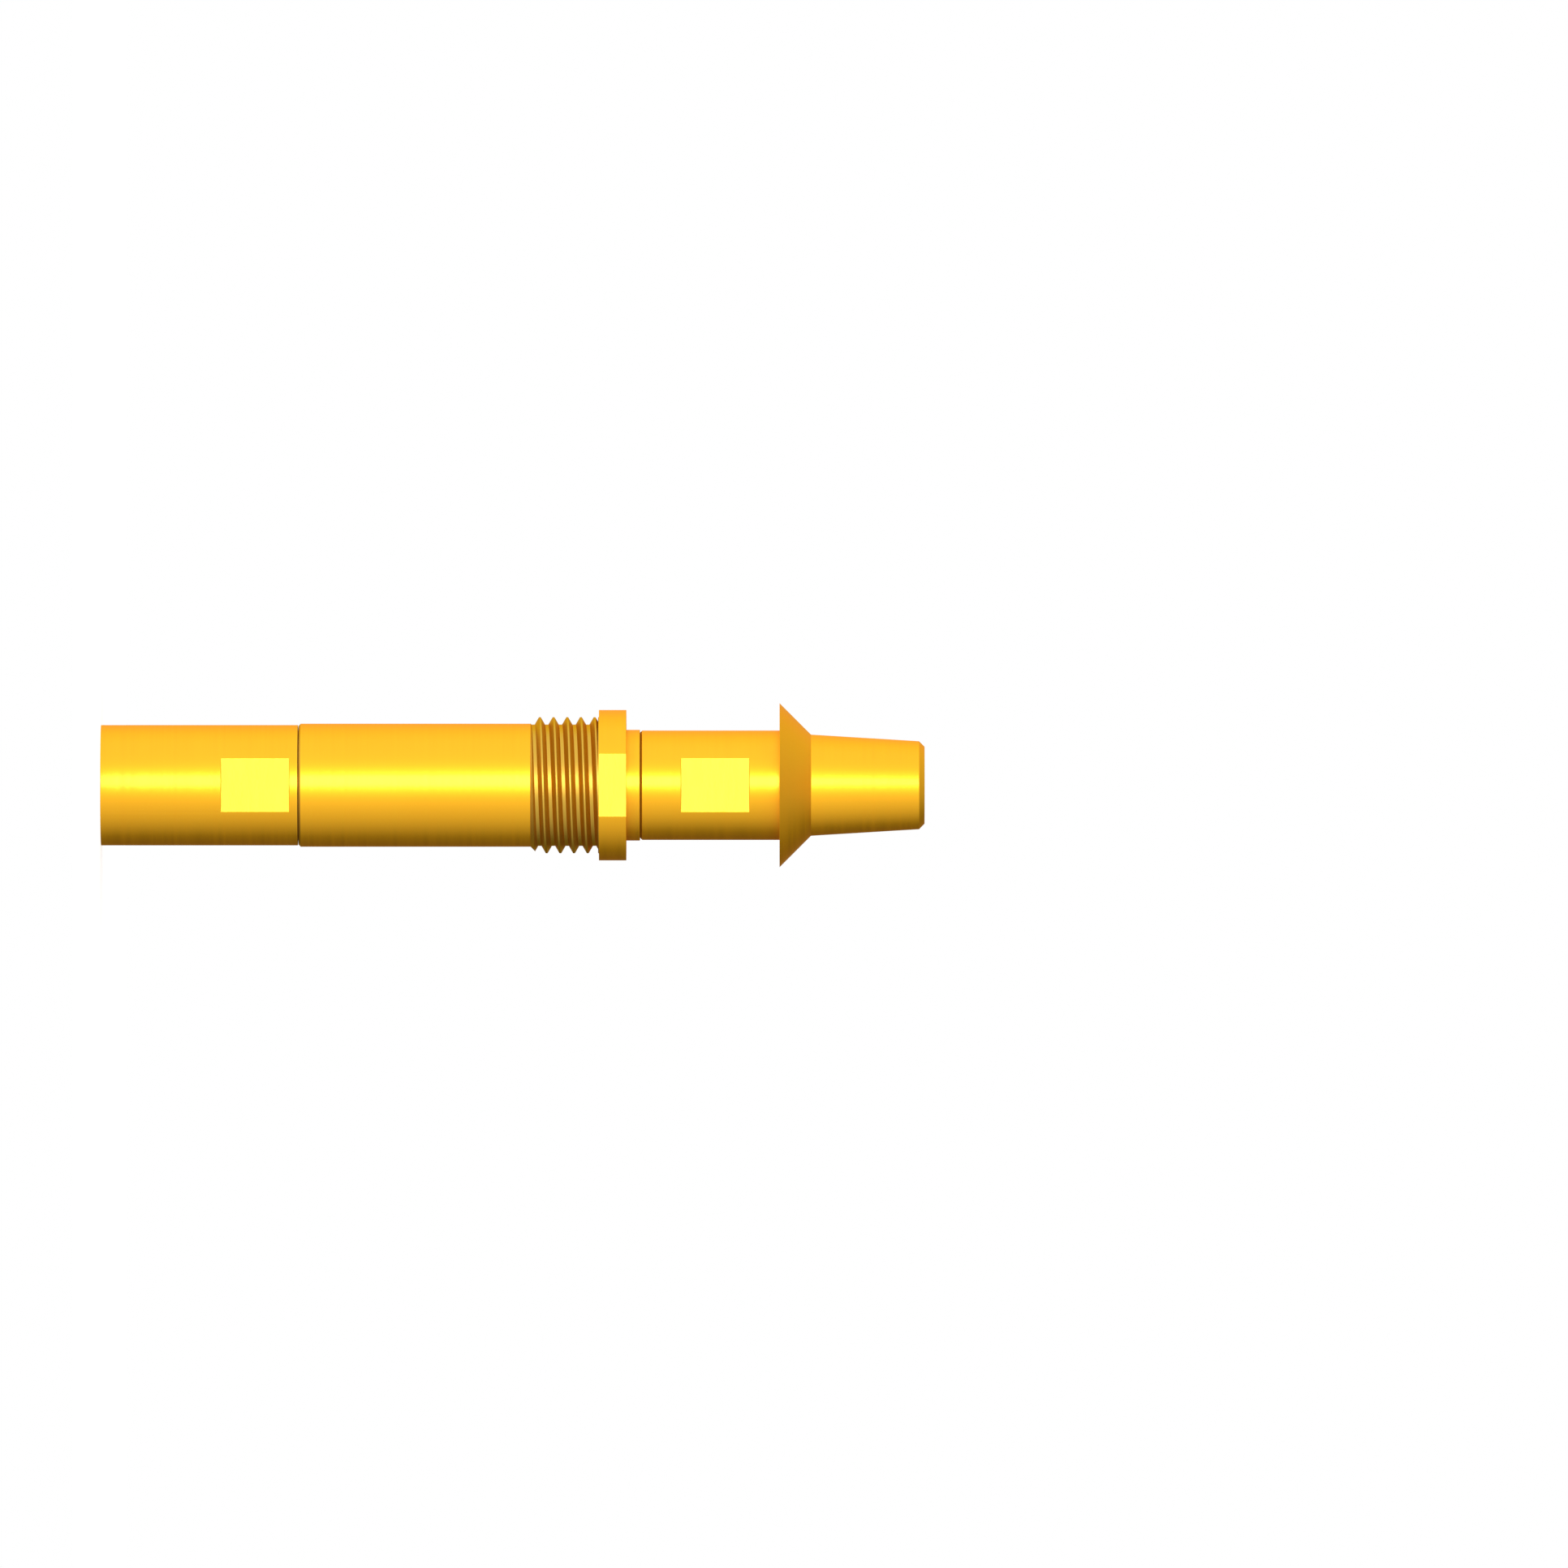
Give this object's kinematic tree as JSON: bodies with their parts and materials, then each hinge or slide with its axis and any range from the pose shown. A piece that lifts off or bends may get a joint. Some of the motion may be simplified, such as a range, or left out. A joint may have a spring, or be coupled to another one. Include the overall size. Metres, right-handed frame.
{
  "type": "rf test probe",
  "caption": "Screw-in coaxial test probe: threaded barrel with spanner collar, sprung outer plunger with centring cone and tapered nose, sprung centre pin, rear cable socket.",
  "frame": {"origin": "on the probe's axis, at the rear face of the collar, which seats on the fixture plate", "axes": "+Z along the axis towards the contact nose; the spanner flats face -Y and +Y"},
  "size_m": [0.006, 0.006, 0.0301],
  "materials": {
    "gold_plate": "bright gold plating on turned brass",
    "spring_steel": "bright stainless steel",
    "ptfe": "white, waxy"
  },
  "bodies": {
    "barrel": {"threaded_barrel": "gold_plate", "guide_bush": "gold_plate", "return_spring": "spring_steel"},
    "plunger": {"plunger_sleeve": "gold_plate", "contact_head": "gold_plate", "cable_connector": "gold_plate", "front_insulator": "ptfe", "support_bead": "ptfe", "dielectric_tube": "ptfe", "rear_insulator": "ptfe", "centre_rod": "gold_plate", "socket_contact": "gold_plate", "pin_barrel": "gold_plate", "pin_spring": "spring_steel"},
    "pin": {"contact_pin": "gold_plate", "bias_ball": "spring_steel"}
  },
  "joints": [
    {"name": "plunger_slide", "type": "slide", "parent": "barrel", "child": "plunger", "axis": [0, 0, -1], "range_m": [0, 0.005], "stiffness_N_per_m": 280, "deforming": ["return_spring"]},
    {"name": "pin_slide", "type": "slide", "parent": "plunger", "child": "pin", "axis": [0, 0, -1], "range_m": [0, 0.001], "stiffness_N_per_m": 600, "deforming": ["pin_spring"]}
  ]
}
